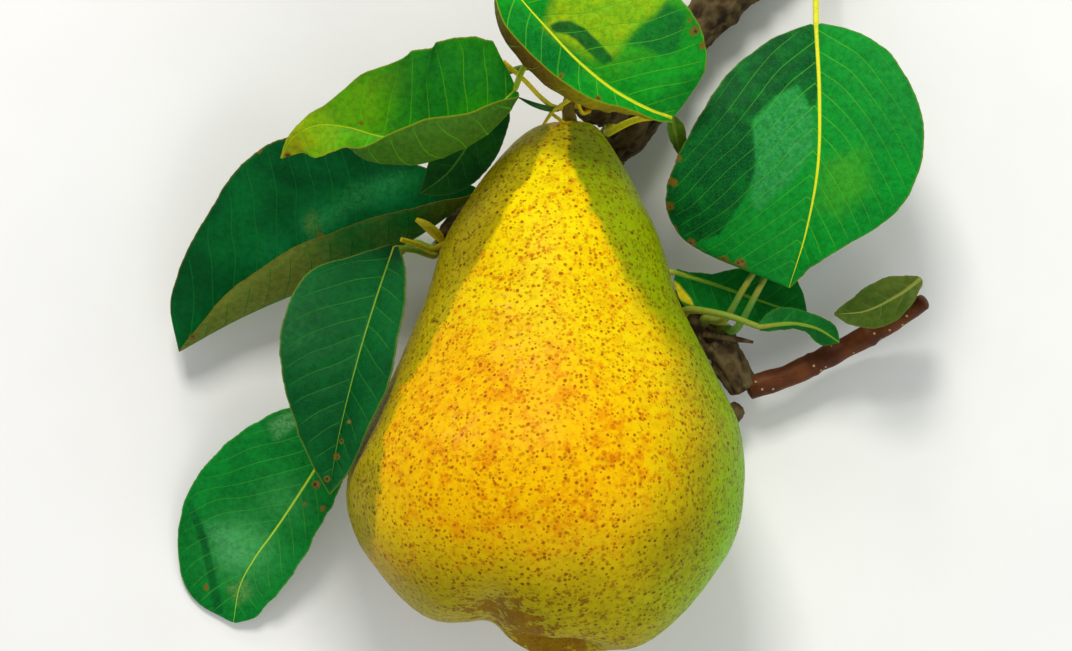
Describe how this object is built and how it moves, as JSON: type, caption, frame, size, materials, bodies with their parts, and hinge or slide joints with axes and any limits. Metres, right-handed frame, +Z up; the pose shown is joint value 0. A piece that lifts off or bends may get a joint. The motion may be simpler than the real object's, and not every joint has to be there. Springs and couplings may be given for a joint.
{
  "type": "fruiting pear branch",
  "caption": "A cut pear branch lying flat, with one large ripening pear on a short spur, a side limb, a young shoot and broad leaves, some of them rolled.",
  "frame": {"origin": "on the surface the branch lies on, under the middle of the object's box", "axes": "+Z up from that surface; seen from above, the pear's blossom end points to -Y, the cut end of the branch is towards +X and +Y, and the long rolled leaves reach towards -X"},
  "size_m": [0.1548, 0.1574, 0.0773],
  "materials": {
    "bark": "rough, flaking bark",
    "shoot_bark": "smooth young bark with pale pores",
    "stalk": "woody, matte",
    "calyx": "dry, matte",
    "pear_skin": "waxy, satin, with small corky dots",
    "leaf": "satin, veined"
  },
  "bodies": {
    "root": {"branch": "bark", "right_limb": "bark", "lower_stub": "bark", "left_spur": "bark", "fruit_spur": "bark", "right_shoot": "shoot_bark", "pear_stalk": "stalk", "pear": "pear_skin", "calyx": "calyx", "leaf_left_long": "leaf", "leaf_upper_left": "leaf", "leaf_behind_upper_left": "leaf", "leaf_hanging": "leaf", "leaf_lower_left": "leaf", "leaf_top": "leaf", "leaf_right": "leaf", "leaf_small_olive": "leaf", "leaf_shaded_inner": "leaf", "leaf_shaded_outer": "leaf", "leaf_shaded_back": "leaf", "leaf_under_right": "leaf", "leaf_on_shoot": "leaf"}
  },
  "joints": []
}
